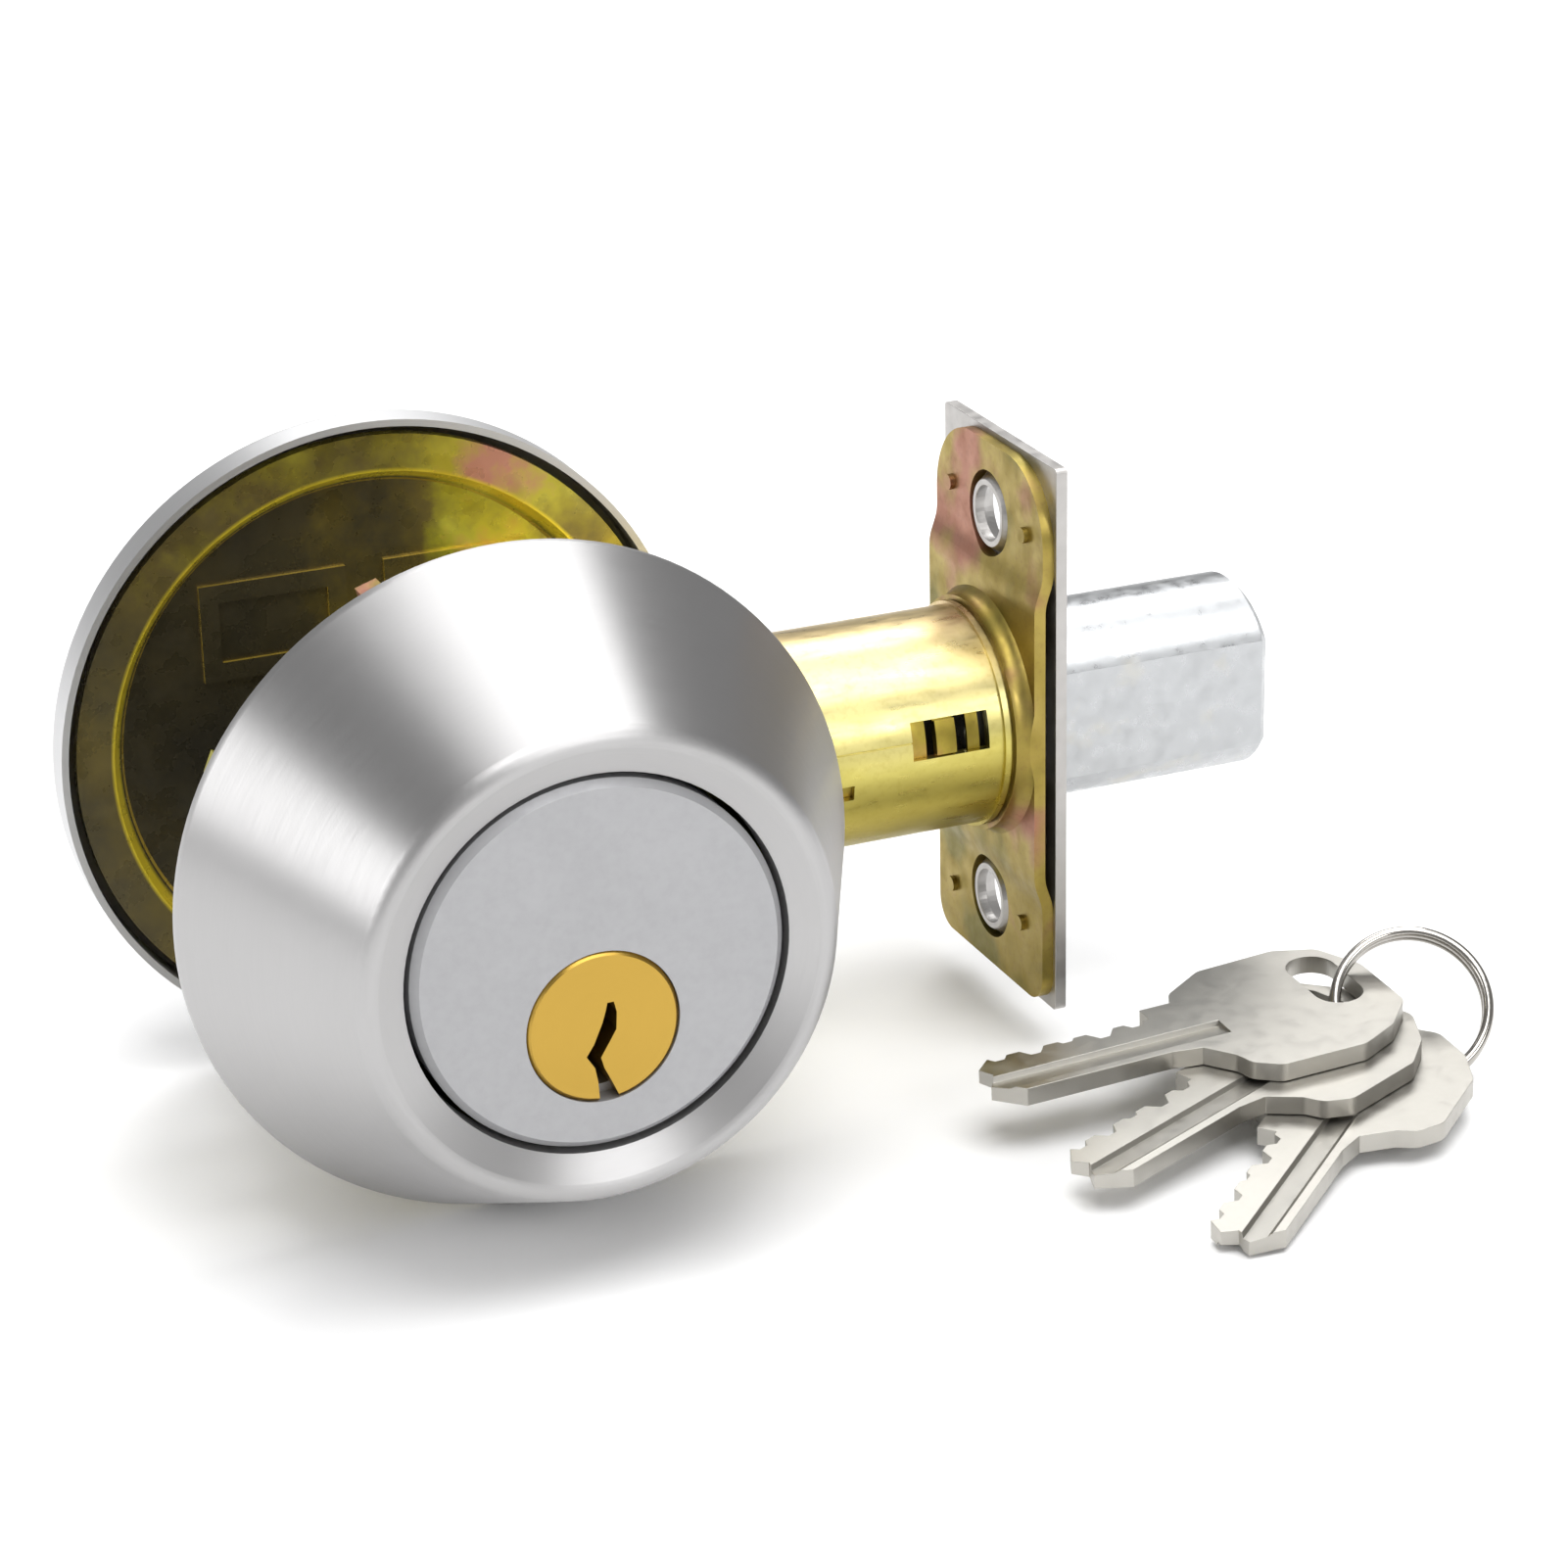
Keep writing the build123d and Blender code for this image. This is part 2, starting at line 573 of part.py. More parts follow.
# ---------------------------------------------------------------- latch tube and its inner sleeve
TUBE_START_X = 16.0
TUBE_END_X = 57.2
LIP_X = 54.0
SLEEVE_START_X = 14.2
SLEEVE_END_X = 56.8
SLEEVE_R = TUBE_IN_R - 0.05
SLEEVE_IN_R = SLEEVE_R - SLEEVE_WALL
WINDOW_X = (44.2, 52.4)
WINDOW_ANGLES = (2.5, 22.5)       # measured up from the tube's outside face
STRAP_X = (46.8, 48.9)
SLEEVE_SLOTS = ((45.9, 46.8), (48.9, 50.3), (51.6, 52.4))
SEAM_ANGLES = (11.6, 12.5)


def sector(x_range, r_range, angles):
    """Part of a ring about the bolt's axis, between two x values, radii and angles above -Y."""
    start = radians(angles[0])
    side = Plane(origin=(0, 0, 0), x_dir=(1, 0, 0), z_dir=(0, sin(start), cos(start)))
    with BuildPart() as wedge:
        with BuildSketch(side):
            with Locations(((x_range[0] + x_range[1]) / 2, -(r_range[0] + r_range[1]) / 2)):
                Rectangle(x_range[1] - x_range[0], r_range[1] - r_range[0])
        revolve(axis=BOLT_AXIS, revolution_arc=-(angles[1] - angles[0]))
    return wedge.part


with BuildPart() as latch_tube:
    with BuildSketch(along(TUBE_START_X)):
        Circle(TUBE_R)
        Circle(TUBE_IN_R, mode=Mode.SUBTRACT)
    extrude(amount=TUBE_END_X - TUBE_START_X)
    with BuildSketch(along(LIP_X)):
        Circle(TUBE_R + 0.35)
        Circle(TUBE_IN_R, mode=Mode.SUBTRACT)
    extrude(amount=0.6)
    add(sector(WINDOW_X, (TUBE_IN_R - 1, TUBE_R + 1), WINDOW_ANGLES), mode=Mode.SUBTRACT)
    seam_x = (TUBE_START_X - 1, WINDOW_X[0] + 0.1)
    add(sector(seam_x, (TUBE_R - 0.3, TUBE_R + 1), SEAM_ANGLES), mode=Mode.SUBTRACT)
    add(sector((36.1, 37.9), (TUBE_IN_R - 1, TUBE_R + 1), (-13.0, -5.0)), mode=Mode.SUBTRACT)
save(latch_tube, "latch_tube")

with BuildPart() as adjusting_sleeve:
    with BuildSketch(along(SLEEVE_START_X)):
        Circle(SLEEVE_R)
        Circle(SLEEVE_IN_R, mode=Mode.SUBTRACT)
    extrude(amount=SLEEVE_END_X - SLEEVE_START_X)
    for slot_x in SLEEVE_SLOTS:
        add(sector(slot_x, (SLEEVE_IN_R - 1, SLEEVE_R + 1), WINDOW_ANGLES), mode=Mode.SUBTRACT)
    add(sector(STRAP_X, (SLEEVE_R - 0.1, TUBE_R - 0.1), (WINDOW_ANGLES[0] + 1, WINDOW_ANGLES[1] - 1)))
save(adjusting_sleeve, "adjusting_sleeve")

# ---------------------------------------------------------------- backplate and faceplate
JOGGLE = 0.9
JOGGLE_Z = 17.2
JOGGLE_RUN = 2.6
BACKPLATE_W = 24.4
BACKPLATE_H = 56.0
BACKPLATE_HOLE_R = 4.35
COLLAR_IN_R = TUBE_R + 0.05

with BuildPart() as backplate:
    half_h = BACKPLATE_H / 2
    back = FACE_X
    raised = FACE_X - JOGGLE
    flare_x = raised - PLATE_T
    with BuildSketch(across(BACKPLATE_W / 2)) as bend:
        with BuildLine():
            Polyline(
                (back, half_h), (back, JOGGLE_Z), (raised, JOGGLE_Z - JOGGLE_RUN),
                (raised, JOGGLE_RUN - JOGGLE_Z), (back, -JOGGLE_Z), (back, -half_h),
                (back - PLATE_T, -half_h), (back - PLATE_T, -JOGGLE_Z),
                (raised - PLATE_T, JOGGLE_RUN - JOGGLE_Z), (raised - PLATE_T, JOGGLE_Z - JOGGLE_RUN),
                (back - PLATE_T, JOGGLE_Z), (back - PLATE_T, half_h), close=True,
            )
        make_face()
        fillet([v for v in bend.vertices() if abs(v.Y) < JOGGLE_Z + 0.1], radius=5.0)
    extrude(amount=BACKPLATE_W)
    # drawn collar round the tube, flaring into the plate
    with BuildSketch(Plane.XY):
        with BuildLine():
            rim = Polyline(
                (flare_x + 0.4, COLLAR_IN_R),
                (LIP_X + 0.9, COLLAR_IN_R),
                (LIP_X + 0.9, COLLAR_IN_R + 0.8),
            )
            flare = ThreePointArc(
                rim @ 1, (flare_x - 0.15, COLLAR_IN_R + 1.35), (flare_x + 0.1, COLLAR_IN_R + 3.4)
            )
            Polyline(flare @ 1, (flare_x + 0.4, COLLAR_IN_R + 3.4), rim @ 0)
        make_face()
    revolve(axis=BOLT_AXIS)
    with BuildSketch(along(BACKSET - 10)) as outline:
        Rectangle(BACKPLATE_W, BACKPLATE_H)
        fillet(outline.vertices().group_by(Axis.Y)[-1], radius=8.0)
        fillet(outline.vertices().group_by(Axis.Y)[0], radius=3.0)
    extrude(amount=15, mode=Mode.INTERSECT)
    with BuildSketch(along(BACKSET - 10)):
        Circle(COLLAR_IN_R)
        with Locations((0, SCREW_SPACING / 2), (0, -SCREW_SPACING / 2)):
            Circle(BACKPLATE_HOLE_R)
    extrude(amount=15, mode=Mode.SUBTRACT)
    # staking pips beside the screw holes
    with BuildSketch(along(back - PLATE_T - 0.5)):
        with Locations((8.6, 21.4), (-8.3, 20.9), (8.6, -22.6), (-7.6, -20.6)):
            Circle(0.8)
    extrude(amount=0.7)
save(backplate, "backplate")

DIMPLE_R = 4.2

with BuildPart() as faceplate:
    with BuildSketch(along(FACE_X)):
        RectangleRounded(PLATE_W, PLATE_H, 0.5)
        Circle(BOLT_R + 0.25, mode=Mode.SUBTRACT)
    extrude(amount=PLATE_T)
    with BuildSketch(along(FACE_X)):
        Circle(BOLT_R + 1)
        Rectangle(2 * BOLT_FLAT + 0.5, 3 * BOLT_R, mode=Mode.SUBTRACT)
        Rectangle(4 * BOLT_R, 1.6 * BOLT_R, mode=Mode.INTERSECT)
    extrude(amount=PLATE_T)
    for side in (1, -1):
        hole_z = side * SCREW_SPACING / 2
        with BuildSketch(Plane.XY.offset(hole_z)):
            with BuildLine():
                Polyline(
                    (BACKSET, 0), (BACKSET, DIMPLE_R), (FACE_X - 0.1, DIMPLE_R),
                    (FACE_X - 1.3, 3.4), (FACE_X - 1.3, 0), close=True,
                )
            make_face()
        revolve(axis=Axis((0, 0, hole_z), (1, 0, 0)))
        with BuildSketch(Plane.XY.offset(hole_z)):
            with BuildLine():
                Polyline(
                    (BACKSET + 1, 0), (BACKSET + 1, 4.6), (BACKSET - 1.5, SCREW_HOLE_R),
                    (FACE_X - 2, SCREW_HOLE_R), (FACE_X - 2, 0), close=True,
                )
            make_face()
        revolve(axis=Axis((0, 0, hole_z), (1, 0, 0)), mode=Mode.SUBTRACT)
save(faceplate, "faceplate")

# ---------------------------------------------------------------- keys on their ring
RING_R = 7.6
RING_WIRE = 0.55
RING_TILT = 48.0
RING_HEADING = -23.2        # the ring tips about a level line at this heading from +X
RING_XY = (88.5, -32.1)
COIL_PITCH = 2 * RING_WIRE + 0.08
RING_DROP = RING_R * sin(radians(RING_TILT))
RING_CLEAR = 0.15           # for the wire's end, which dips below the middle coil
RING_Z = FLOOR_Z + RING_DROP + RING_WIRE + COIL_PITCH / 2 * cos(radians(RING_TILT)) + RING_CLEAR

level = Vector(cos(radians(RING_HEADING)), sin(radians(RING_HEADING)), 0)
away = Vector(-sin(radians(RING_HEADING)), cos(radians(RING_HEADING)), 0)
uphill = away * cos(radians(RING_TILT)) + Vector(0, 0, 1) * sin(radians(RING_TILT))
ring_centre = Vector(RING_XY[0], RING_XY[1], RING_Z)
ring_normal = level.cross(uphill)

with BuildPart() as key_ring:
    ring_turns = 1.96
    with BuildLine():
        wire = Helix(COIL_PITCH, COIL_PITCH * ring_turns, RING_R,
                     center=ring_centre - ring_normal * (COIL_PITCH * ring_turns / 2), direction=ring_normal)
    with BuildSketch(Plane(origin=wire @ 0, z_dir=wire % 0)):
        Circle(RING_WIRE)
    sweep(path=wire, is_frenet=True)
save(key_ring, "key_ring")

KEY_PITCH = 2.1             # from one key to the next in the pile
KEY_TILT = 3.4              # the tips rest lower than the bows
KEY_BASE = 2.6              # underside of the lowest key over the floor, at the ring
BITTING = (0.8, 1.3, 0.5, 1.1, 0.7)      # the keys are copies of one another
KEY_HEADINGS = (180.0, 202.0, 221.0)
KEY_SHIFTS = (1.0, 1.2, 3.0)     # how far along its slot each key hangs
BOW_END = -4.6
BOW_W = 10.6
BLADE_START = 16.0
BLADE_END = 38.6
SPINE_Y = 3.4
EDGE_Y = -3.6

pile_tip = Vector(cos(radians(KEY_HEADINGS[2])), sin(radians(KEY_HEADINGS[2])), 0)
pile_up = (pile_tip * sin(radians(KEY_TILT)) + Vector(0, 0, cos(radians(KEY_TILT)))).normalized()


def make_key(origin, heading, shift):
    tip = Vector(cos(radians(heading)), sin(radians(heading)), 0)
    tip = (tip - pile_up * tip.dot(pile_up)).normalized()
    flat = Plane(origin=origin + pile_up.cross(tip) * shift, x_dir=tip, z_dir=pile_up)
    with BuildPart() as key:
        with BuildSketch(flat.offset(-KEY_T / 2)):
            with BuildLine():
                Polyline(
                    (BLADE_START, EDGE_Y - 2.0), (BLADE_START - 0.6, -7.2), (10.6, -BOW_W + 0.4),
                    (2.0, -BOW_W), (-2.2, -8.9), (BOW_END, -4.0), (BOW_END, 4.6), (-1.2, 8.4),
                    (3.0, BOW_W), (12.2, BOW_W),
                    (14.6, 8.8), (15.2, 6.8), (17.4, SPINE_Y + 0.6), (20.5, SPINE_Y),
                    (BLADE_END - 2.6, SPINE_Y),
                    (BLADE_END, 0.8), (BLADE_END - 0.9, -0.6), (BLADE_END, -2.0), (BLADE_END - 1.6, EDGE_Y),
                    (BLADE_START + 3.4, EDGE_Y), (BLADE_START + 3.4, EDGE_Y - 2.0), close=True,
                )
            make_face()
        extrude(amount=KEY_T)
        corners = key.edges().filter_by(Axis((0, 0, 0), tuple(pile_up)))
        bow = [e for e in corners if flat.to_local_coords(e.center()).X < 15.8]
        fillet(bow, radius=1.8)
        with BuildSketch(flat.offset(-KEY_T)):
            with Locations((0.2, -2.8)):
                SlotOverall(10.4, 5.0, rotation=90)
            for number, depth in enumerate(BITTING):
                cut_x = BLADE_START + 5.1 + 3.7 * number
                with BuildLine():
                    Polyline(
                        (cut_x - 0.5 - depth * 0.75, EDGE_Y - 0.01), (cut_x - 0.5, EDGE_Y + depth),
                        (cut_x + 0.5, EDGE_Y + depth), (cut_x + 0.5 + depth * 0.75, EDGE_Y - 0.01),
                        close=True,
                    )
                make_face()
        extrude(amount=2 * KEY_T, mode=Mode.SUBTRACT)
        # milled grooves, one in each face of the blade
        for side, groove_y in ((1, -0.9), (-1, 1.5)):
            past_tip = flat.from_local_coords((BLADE_END + 1, 0, 0))
            end_plane = Plane(origin=past_tip, x_dir=flat.y_dir, z_dir=-flat.x_dir)
            lift = side * KEY_T / 2
            with BuildSketch(end_plane):
                with BuildLine():
                    Polyline(
                        (groove_y - 1.7, lift), (groove_y - 1.5, lift - side * 0.55),
                        (groove_y + 0.6, lift - side * 0.3), (groove_y + 1.0, lift),
                        (groove_y, lift + side), close=True,
                    )
                make_face()
            extrude(amount=BLADE_END - 12.5, mode=Mode.SUBTRACT)
    return key


key_pivots = []
for number, (heading, shift) in enumerate(zip(KEY_HEADINGS, KEY_SHIFTS), start=1):
    middle_z = FLOOR_Z + KEY_BASE + KEY_T / 2 + KEY_PITCH * (3 - number)
    rise = (middle_z - RING_Z) / RING_DROP
    pivot = ring_centre - level * (RING_R * sqrt(1 - rise * rise)) + uphill * (RING_R * rise)
    key_pivots.append(pivot)
    save(make_key(pivot, heading, shift), f"key_{number}")

for pivot in key_pivots:
    print("key pivot", tuple(round(v, 2) for v in pivot), "up", tuple(round(v, 4) for v in pile_up))
centre_at = tuple(round(v, 2) for v in ring_centre)
print("ring centre", centre_at, "normal", tuple(round(v, 4) for v in ring_normal))
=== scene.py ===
import json
import math

import bmesh
import bpy
from mathutils import Matrix, Vector


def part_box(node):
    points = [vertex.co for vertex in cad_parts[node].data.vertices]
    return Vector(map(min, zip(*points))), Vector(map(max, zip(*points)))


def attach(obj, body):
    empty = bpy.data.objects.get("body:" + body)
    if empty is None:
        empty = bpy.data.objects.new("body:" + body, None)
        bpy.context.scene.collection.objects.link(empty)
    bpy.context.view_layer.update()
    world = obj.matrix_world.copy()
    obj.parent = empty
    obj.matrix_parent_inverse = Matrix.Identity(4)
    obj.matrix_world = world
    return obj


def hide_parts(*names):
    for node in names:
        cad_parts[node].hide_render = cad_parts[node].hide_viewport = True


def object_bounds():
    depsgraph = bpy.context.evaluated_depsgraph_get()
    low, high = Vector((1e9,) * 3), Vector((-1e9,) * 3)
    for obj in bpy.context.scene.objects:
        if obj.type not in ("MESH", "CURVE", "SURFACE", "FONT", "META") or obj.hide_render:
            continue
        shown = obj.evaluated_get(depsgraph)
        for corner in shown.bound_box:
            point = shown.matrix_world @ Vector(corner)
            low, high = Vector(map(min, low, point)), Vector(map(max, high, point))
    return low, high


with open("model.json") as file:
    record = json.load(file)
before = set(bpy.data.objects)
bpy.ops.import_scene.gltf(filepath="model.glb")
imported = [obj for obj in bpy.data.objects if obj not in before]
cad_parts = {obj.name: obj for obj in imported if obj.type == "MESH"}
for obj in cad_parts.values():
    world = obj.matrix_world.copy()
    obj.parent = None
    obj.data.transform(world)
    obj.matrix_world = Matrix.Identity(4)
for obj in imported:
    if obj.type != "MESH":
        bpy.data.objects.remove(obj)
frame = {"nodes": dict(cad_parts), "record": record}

CAD_LOW, CAD_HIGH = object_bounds()
NODES = frame["nodes"]
RECORD = frame["record"]
BODY_OF = {node: body for body, members in RECORD["behaviour"]["bodies"].items() for node in members}
SLOT_OF = {part["node"]: part["material_slot"] for part in RECORD["subparts"]}

PLATE_LOW, PLATE_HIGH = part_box("rose_plate")
PLATE_R = PLATE_HIGH.x
FOLD_INNER_R = (PLATE_R - 0.0048, PLATE_R - 0.0044)     # where its floor gives way to the fold
FOLD_OUTER_R = (PLATE_R - 0.0038, PLATE_R - 0.0034)     # where the fold gives way to the outer band
RIB_Y = (PLATE_LOW.y + 0.00157, PLATE_LOW.y + 0.00198)  # where the sides of its pressed ribs lie
TUBE_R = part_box("latch_tube")[1].z
PLUG_Z = (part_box("plug")[0].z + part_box("plug")[1].z) / 2
RING_WAVER = 0.0006             # how far a brushed ring drifts per radian, in metres


# ---------------------------------------------------------------- node helpers
def add(tree, kind, inputs=None, **settings):
    """A shader node; each input is a socket to link or a value to set."""
    node = tree.nodes.new(kind)
    for key, value in settings.items():
        setattr(node, key, value)
    for key, value in (inputs or {}).items():
        if isinstance(value, bpy.types.NodeSocket):
            tree.links.new(value, node.inputs[key])
        else:
            node.inputs[key].default_value = value
    return node


def maths(tree, operation, a, b=0.0):
    return add(tree, "ShaderNodeMath", {0: a, 1: b}, operation=operation).outputs[0]


def spread(tree, value, low, high, source=(0.0, 1.0)):
    inputs = {"Value": value, "From Min": source[0], "From Max": source[1], "To Min": low, "To Max": high}
    return add(tree, "ShaderNodeMapRange", inputs).outputs[0]


def noise(tree, vector, scale, detail=3.0, roughness=0.55):
    inputs = {"Vector": vector, "Scale": scale, "Detail": detail, "Roughness": roughness}
    return add(tree, "ShaderNodeTexNoise", inputs).outputs["Fac"]


def ramp(tree, value, stops):
    """A colour ramp; its stops are (place, colour), in order from place 0 to place 1."""
    node = add(tree, "ShaderNodeValToRGB", {"Fac": value})
    elements = node.color_ramp.elements
    for place, _ in stops[1:-1]:
        elements.new(place)
    for element, (place, colour) in zip(elements, stops):
        element.position = place
        element.color = (*colour, 1.0)
    return node.outputs["Color"]


def mix(tree, factor, a, b):
    """From colour a to colour b; each is a socket or an (r, g, b)."""
    inputs = {0: factor}
    for index, value in ((6, a), (7, b)):
        inputs[index] = value if isinstance(value, bpy.types.NodeSocket) else (*value, 1.0)
    return add(tree, "ShaderNodeMix", inputs, data_type="RGBA").outputs[2]


def darker(colour, share):
    return tuple(part * share for part in colour)


def coordinates(tree):
    return add(tree, "ShaderNodeTexCoord").outputs["Object"]


def mottled(tree, value, low, high):
    """A noise value spread so that its usual range, 0.3 to 0.7, covers low to high."""
    return spread(tree, value, low, high, (0.3, 0.7))


def stretched(tree, scale):
    return add(tree, "ShaderNodeMapping", {"Vector": coordinates(tree), "Scale": scale}).outputs["Vector"]


def turned(tree, centre_z):
    """Coordinates of a piece turned about a line along Y: radius, depth, and a little of the angle."""
    x, y, z = add(tree, "ShaderNodeSeparateXYZ", {0: coordinates(tree)}).outputs
    z = maths(tree, "SUBTRACT", z, centre_z)
    square = maths(tree, "ADD", maths(tree, "MULTIPLY", x, x), maths(tree, "MULTIPLY", z, z))
    turn = maths(tree, "MULTIPLY", maths(tree, "ARCTAN2", z, x), RING_WAVER)
    return add(tree, "ShaderNodeCombineXYZ", {0: maths(tree, "SQRT", square), 1: y, 2: turn}).outputs[0]


def material(name, colour, roughness, bump, bump_mm, metallic=1.0, anisotropic=0.0):
    """colour, roughness and bump are functions of the node tree; the bump is bump_mm high."""
    made = bpy.data.materials.new(name)
    made.use_nodes = True
    tree = made.node_tree
    tree.nodes.clear()
    relief = {"Height": bump(tree), "Strength": 1.0, "Distance": bump_mm / 1000}
    height = add(tree, "ShaderNodeBump", relief)
    shader = add(tree, "ShaderNodeBsdfPrincipled", {
        "Base Color": colour(tree), "Roughness": roughness(tree), "Metallic": metallic,
        "Anisotropic": anisotropic, "Anisotropic Rotation": 0.25, "Normal": height.outputs[0],
    })
    if anisotropic:
        tangent = add(tree, "ShaderNodeTangent", direction_type="RADIAL", axis="Y")
        tree.links.new(tangent.outputs[0], shader.inputs["Tangent"])
    add(tree, "ShaderNodeOutputMaterial", {"Surface": shader.outputs[0]})
    return made


# ---------------------------------------------------------------- finishes
def brushed(name, tone, rough, anisotropic, centre_z=0.0, grain=9000.0):
    """Metal spun or turned, with fine rings about a line along Y."""
    def colour(tree):
        cloud = noise(tree, coordinates(tree), 70.0, 2.0)
        return mix(tree, spread(tree, cloud, 0.0, 0.35), tone, darker(tone, 0.82))

    def roughness(tree):
        rings = noise(tree, turned(tree, centre_z), grain, 2.0)
        return spread(tree, rings, rough - 0.03, rough + 0.05, (0.25, 0.75))

    def bump(tree):
        return noise(tree, turned(tree, centre_z), grain * 0.7, 2.0)

    return material(name, colour, roughness, bump, bump_mm=0.0012, anisotropic=anisotropic)


def chromate(name, stops, patch, rough):
    """Iridescent yellow chromate over zinc: patches of several tints, finely mottled."""
    def colour(tree):
        patches = noise(tree, coordinates(tree), patch, 3.0, 0.5)
        tint = ramp(tree, spread(tree, patches, 0.0, 1.0, (0.36, 0.66)), stops)
        speckle = noise(tree, coordinates(tree), 1800.0, 2.0)
        return mix(tree, spread(tree, speckle, 0.0, 0.25, (0.5, 0.8)), tint, darker(stops[-1][1], 0.45))

    def roughness(tree):
        return mottled(tree, noise(tree, coordinates(tree), 420.0, 3.0), rough - 0.08, rough + 0.12)

    def bump(tree):
        return noise(tree, coordinates(tree), 650.0, 3.0)

    return material(name, colour, roughness, bump, bump_mm=0.01)


def chromate_with_painted_light(name):
    """The tube's chromate: greener low down, yellow at the side, peach on top; its colour also carries
    painted light, darker towards the bottom as painted shade and a pale cream band on the upper side as a
    painted highlight.
    """
    def colour(tree):
        height = add(tree, "ShaderNodeSeparateXYZ", {0: coordinates(tree)}).outputs[2]
        cloud = maths(tree, "SUBTRACT", noise(tree, stretched(tree, (1, 2, 2)), 60.0), 0.5)
        drift = maths(tree, "MULTIPLY", cloud, 0.006)
        reach = TUBE_R + 0.00005
        place = spread(tree, maths(tree, "ADD", height, drift), 0.0, 1.0, (-reach, reach))
        # painted light: the low stops are darker as painted shade, the pale cream stop at 0.75 is a
        # painted highlight on the upper side
        tint = ramp(tree, place, [
            (0.0, (0.36, 0.29, 0.05)), (0.28, (0.48, 0.39, 0.08)), (0.5, (0.55, 0.48, 0.13)),
            (0.75, (0.71, 0.63, 0.28)), (1.0, (0.60, 0.46, 0.25)),
        ])
        speckle = noise(tree, coordinates(tree), 1500.0, 2.0)
        return mix(tree, spread(tree, speckle, 0.0, 0.25, (0.5, 0.8)), tint, (0.36, 0.27, 0.04))

    def roughness(tree):
        return mottled(tree, noise(tree, stretched(tree, (0.3, 1, 1)), 900.0), 0.25, 0.42)

    def bump(tree):
        return noise(tree, stretched(tree, (0.25, 1, 1)), 1100.0, 3.0)

    return material(name, colour, roughness, bump, bump_mm=0.006)


def mottled_zinc(name, tone, rough=0.3):
    """Bright zinc plate with soft spangle and a few dull spots."""
    def colour(tree):
        cells = add(tree, "ShaderNodeTexVoronoi", {"Vector": coordinates(tree), "Scale": 330.0})
        spangle = add(tree, "ShaderNodeSeparateColor", {0: cells.outputs["Color"]}).outputs[0]
        base = mix(tree, spread(tree, spangle, 0.0, 0.25), tone, darker(tone, 0.86))
        stain = noise(tree, coordinates(tree), 190.0, 4.0)
        return mix(tree, spread(tree, stain, 0.0, 0.4, (0.6, 0.82)), base, (0.62, 0.57, 0.42))

    def roughness(tree):
        return mottled(tree, noise(tree, coordinates(tree), 500.0, 4.0), rough - 0.08, rough + 0.14)

    def bump(tree):
        return noise(tree, coordinates(tree), 800.0, 4.0)

    return material(name, colour, roughness, bump, bump_mm=0.012)


def grained(name, tone, rough, metallic, scale=2600.0, bump_mm=0.004, worn=0.12):
    """Fine even grain, as on die castings, tumbled keys and drawn wire; worn is how far it clouds."""
    def colour(tree):
        cloud = noise(tree, coordinates(tree), 160.0, 3.0)
        return mix(tree, spread(tree, cloud, 0.0, worn * 2, (0.35, 0.75)), tone, darker(tone, 0.72))

    def roughness(tree):
        return mottled(tree, noise(tree, coordinates(tree), scale * 0.4, 3.0), rough - 0.05, rough + 0.09)

    def bump(tree):
        return noise(tree, coordinates(tree), scale, 2.0)

    return material(name, colour, roughness, bump, bump_mm, metallic=metallic)


def painted_white(name):
    """The floor: matt white with the least of clouding and tooth."""
    def colour(tree):
        cloud = spread(tree, noise(tree, coordinates(tree), 3.0), 0.0, 0.05)
        return mix(tree, cloud, (0.93, 0.93, 0.93), (0.90, 0.90, 0.90))

    def roughness(tree):
        return spread(tree, noise(tree, coordinates(tree), 40.0), 0.75, 0.9)

    def bump(tree):
        return noise(tree, coordinates(tree), 900.0)

    return material(name, colour, roughness, bump, bump_mm=0.01, metallic=0.0)


